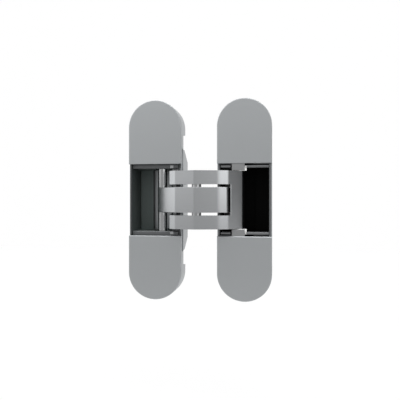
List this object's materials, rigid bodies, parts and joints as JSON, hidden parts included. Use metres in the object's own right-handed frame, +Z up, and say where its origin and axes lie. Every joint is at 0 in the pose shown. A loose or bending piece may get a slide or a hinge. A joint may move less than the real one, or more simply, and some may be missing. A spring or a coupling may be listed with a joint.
{
  "type": "concealed door hinge",
  "caption": "Mortised concealed door hinge: two round-ended bodies with pockets, joined by a forked arm and a middle arm that cross at a centre pin and fold flat.",
  "frame": {"origin": "centre of the frame body's two fixing holes, on the back plane of its end blocks", "axes": "+Z up along the hinge's height, +Y from the faces into the bodies, +X from the frame body to the door body"},
  "size_m": [0.08, 0.0326, 0.1114],
  "materials": {
    "satin_nickel": "satin nickel plate on die-cast zinc, fine brushed",
    "arm_nickel": "satin nickel on cast arms",
    "steel": "turned steel",
    "insert_metal": "plain die-cast zinc",
    "white_plastic": "white acetal"
  },
  "bodies": {
    "frame_body": {"frame_housing": "satin_nickel", "frame_upper_cover": "satin_nickel", "frame_lower_cover": "satin_nickel", "frame_clamp_screws": "steel"},
    "frame_insert": {"frame_carrier": "insert_metal", "frame_pivot_pin": "steel", "frame_pivot_washers": "white_plastic", "frame_lock_pins": "arm_nickel"},
    "fork": {"fork_arm": "arm_nickel", "centre_pin": "steel", "door_slide_pin": "steel", "door_slide_rollers": "white_plastic"},
    "middle_arm": {"middle_arm": "arm_nickel", "frame_slide_pin": "steel", "frame_slide_sleeves": "steel", "frame_slide_rollers": "white_plastic"},
    "door_body": {"door_housing": "satin_nickel", "door_upper_cover": "satin_nickel", "door_lower_cover": "satin_nickel", "door_clamp_screws": "steel", "door_carrier": "insert_metal", "door_pivot_pin": "steel", "door_pivot_spacers": "white_plastic", "door_stop_keepers": "insert_metal", "door_stop_buffers": "white_plastic"}
  },
  "joints": [
    {"name": "height_adjustment", "type": "slide", "parent": "frame_body", "child": "frame_insert", "axis": [0, 0, 1], "range_m": [-0.0015, 0.0015]},
    {"name": "frame_pivot", "type": "hinge", "parent": "frame_insert", "child": "fork", "pos_m": [0.009, 0.0015, 0], "axis": [0, 0, 1], "range_deg": [-86.69, 0]},
    {"name": "centre_pivot", "type": "hinge", "parent": "fork", "child": "middle_arm", "pos_m": [0.0242, -0.0171, 0], "axis": [0, 0, 1], "range_deg": [-6.31, 0]},
    {"name": "door_pivot", "type": "hinge", "parent": "middle_arm", "child": "door_body", "pos_m": [0.041, 0.0015, 0], "axis": [0, 0, 1], "range_deg": [-86.99, 0]}
  ],
  "couplings": [
    {"joint": "centre_pivot", "follows": "frame_pivot", "ratio": 0.072821},
    {"joint": "door_pivot", "follows": "frame_pivot", "ratio": 1.0034}
  ]
}
